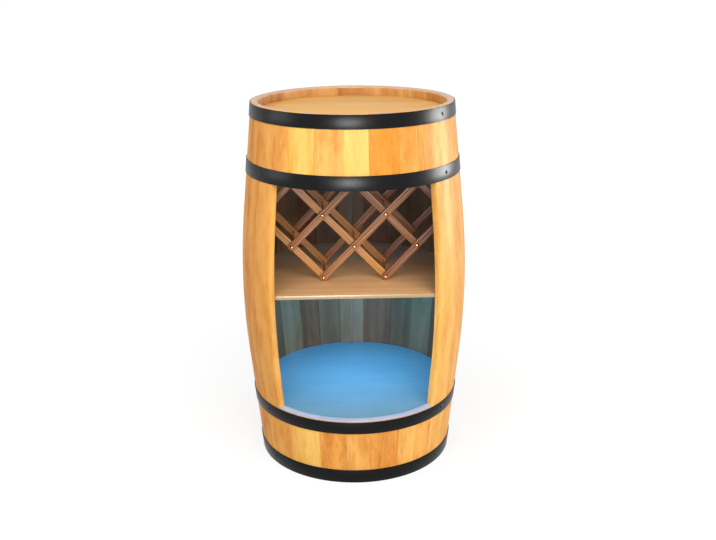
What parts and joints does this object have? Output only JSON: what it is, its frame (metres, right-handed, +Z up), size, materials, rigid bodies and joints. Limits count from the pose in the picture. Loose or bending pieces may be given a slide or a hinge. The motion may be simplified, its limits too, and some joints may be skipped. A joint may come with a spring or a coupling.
{
  "type": "barrel bar cabinet",
  "caption": "Upright stave barrel on end as a bar cabinet, with black hoops, an open front, a shelf, a folding lattice bottle rack and hidden strip lights.",
  "frame": {"origin": "middle of the footprint's box, on the floor; the barrel's axis stands 7.6 mm in front of it", "axes": "+Z up along the barrel's axis, the open front faces -Y, +X to the right seen from the front"},
  "size_m": [0.497, 0.4817, 0.8],
  "materials": {
    "stave_wood": "clear satin lacquer over honey pine",
    "hoop_steel": "satin black enamel on steel band",
    "screw_steel": "black oxide, gloss",
    "head_wood": "satin stained board",
    "board_wood": "satin stained fibreboard, pale edge",
    "rack_wood": "oiled walnut stain",
    "rod_brass": "polished",
    "light_tape": "matt white tape",
    "light_chip": "lit blue lens",
    "black_plastic": "fine moulded texture"
  },
  "bodies": {
    "barrel": {"board_cleats": "board_wood", "bottom_head": "head_wood", "floor_board": "board_wood", "front_stave_lower_1": "stave_wood", "front_stave_lower_2": "stave_wood", "front_stave_lower_3": "stave_wood", "front_stave_lower_4": "stave_wood", "front_stave_lower_5": "stave_wood", "front_stave_lower_6": "stave_wood", "front_stave_lower_7": "stave_wood", "front_stave_upper_1": "stave_wood", "front_stave_upper_2": "stave_wood", "front_stave_upper_3": "stave_wood", "front_stave_upper_4": "stave_wood", "front_stave_upper_5": "stave_wood", "front_stave_upper_6": "stave_wood", "front_stave_upper_7": "stave_wood", "hoop_bottom": "hoop_steel", "hoop_lower": "hoop_steel", "hoop_screws": "screw_steel", "hoop_top": "hoop_steel", "hoop_upper": "hoop_steel", "light_chips": "light_chip", "light_controller": "black_plastic", "light_lead": "black_plastic", "light_strips": "light_tape", "mid_shelf": "board_wood", "power_inlet": "black_plastic", "stave_01": "stave_wood", "stave_02": "stave_wood", "stave_03": "stave_wood", "stave_04": "stave_wood", "stave_05": "stave_wood", "stave_06": "stave_wood", "stave_07": "stave_wood", "stave_08": "stave_wood", "stave_09": "stave_wood", "stave_10": "stave_wood", "stave_11": "stave_wood", "stave_12": "stave_wood", "stave_13": "stave_wood", "stave_14": "stave_wood", "stave_15": "stave_wood", "stave_16": "stave_wood", "stave_17": "stave_wood", "stave_18": "stave_wood", "top_head": "head_wood"},
    "rack_main": {"rack_slats_rising_3": "rack_wood", "rack_rods_rising_3": "rod_brass"},
    "rack_falling_1": {"rack_slats_falling_1": "rack_wood", "rack_rods_falling_1": "rod_brass"},
    "rack_falling_2": {"rack_slats_falling_2": "rack_wood", "rack_rods_falling_2": "rod_brass"},
    "rack_falling_3": {"rack_slats_falling_3": "rack_wood", "rack_rods_falling_3": "rod_brass"},
    "rack_falling_4": {"rack_slats_falling_4": "rack_wood", "rack_rods_falling_4": "rod_brass"},
    "rack_rising_1": {"rack_slats_rising_1": "rack_wood"},
    "rack_rising_2": {"rack_slats_rising_2": "rack_wood"},
    "rack_rising_4": {"rack_slats_rising_4": "rack_wood"}
  },
  "joints": [
    {"name": "rack_fold", "type": "hinge", "parent": "barrel", "child": "rack_main", "pos_m": [-0.06771, -0.00761, 0.42166], "axis": [0, -1, 0], "range_deg": [0, 13]},
    {"name": "falling_1_fold", "type": "hinge", "parent": "barrel", "child": "rack_falling_1", "pos_m": [-0.06771, -0.00761, 0.42166], "axis": [0, -1, 0], "range_deg": [-13, 0]},
    {"name": "falling_2_fold", "type": "hinge", "parent": "rack_main", "child": "rack_falling_2", "pos_m": [0, -0.00761, 0.49178], "axis": [0, -1, 0], "range_deg": [-26, 0]},
    {"name": "falling_3_fold", "type": "hinge", "parent": "rack_main", "child": "rack_falling_3", "pos_m": [0.06771, -0.00761, 0.5619], "axis": [0, -1, 0], "range_deg": [-26, 0]},
    {"name": "falling_4_fold", "type": "hinge", "parent": "rack_main", "child": "rack_falling_4", "pos_m": [0.13543, -0.00761, 0.63202], "axis": [0, -1, 0], "range_deg": [-26, 0]},
    {"name": "rising_2_fold", "type": "hinge", "parent": "rack_falling_1", "child": "rack_rising_2", "pos_m": [-0.13543, -0.00761, 0.49178], "axis": [0, -1, 0], "range_deg": [0, 26]},
    {"name": "rising_1_fold", "type": "hinge", "parent": "rack_falling_1", "child": "rack_rising_1", "pos_m": [-0.20315, -0.00761, 0.5619], "axis": [0, -1, 0], "range_deg": [0, 26]},
    {"name": "rising_4_fold", "type": "hinge", "parent": "rack_falling_2", "child": "rack_rising_4", "pos_m": [0.06771, -0.00761, 0.42166], "axis": [0, -1, 0], "range_deg": [0, 26]}
  ],
  "couplings": [
    {"joint": "falling_1_fold", "follows": "rack_fold", "ratio": -1},
    {"joint": "falling_2_fold", "follows": "rack_fold", "ratio": -2},
    {"joint": "falling_3_fold", "follows": "rack_fold", "ratio": -2},
    {"joint": "falling_4_fold", "follows": "rack_fold", "ratio": -2},
    {"joint": "rising_2_fold", "follows": "rack_fold", "ratio": 2},
    {"joint": "rising_1_fold", "follows": "rack_fold", "ratio": 2},
    {"joint": "rising_4_fold", "follows": "rack_fold", "ratio": 2}
  ]
}
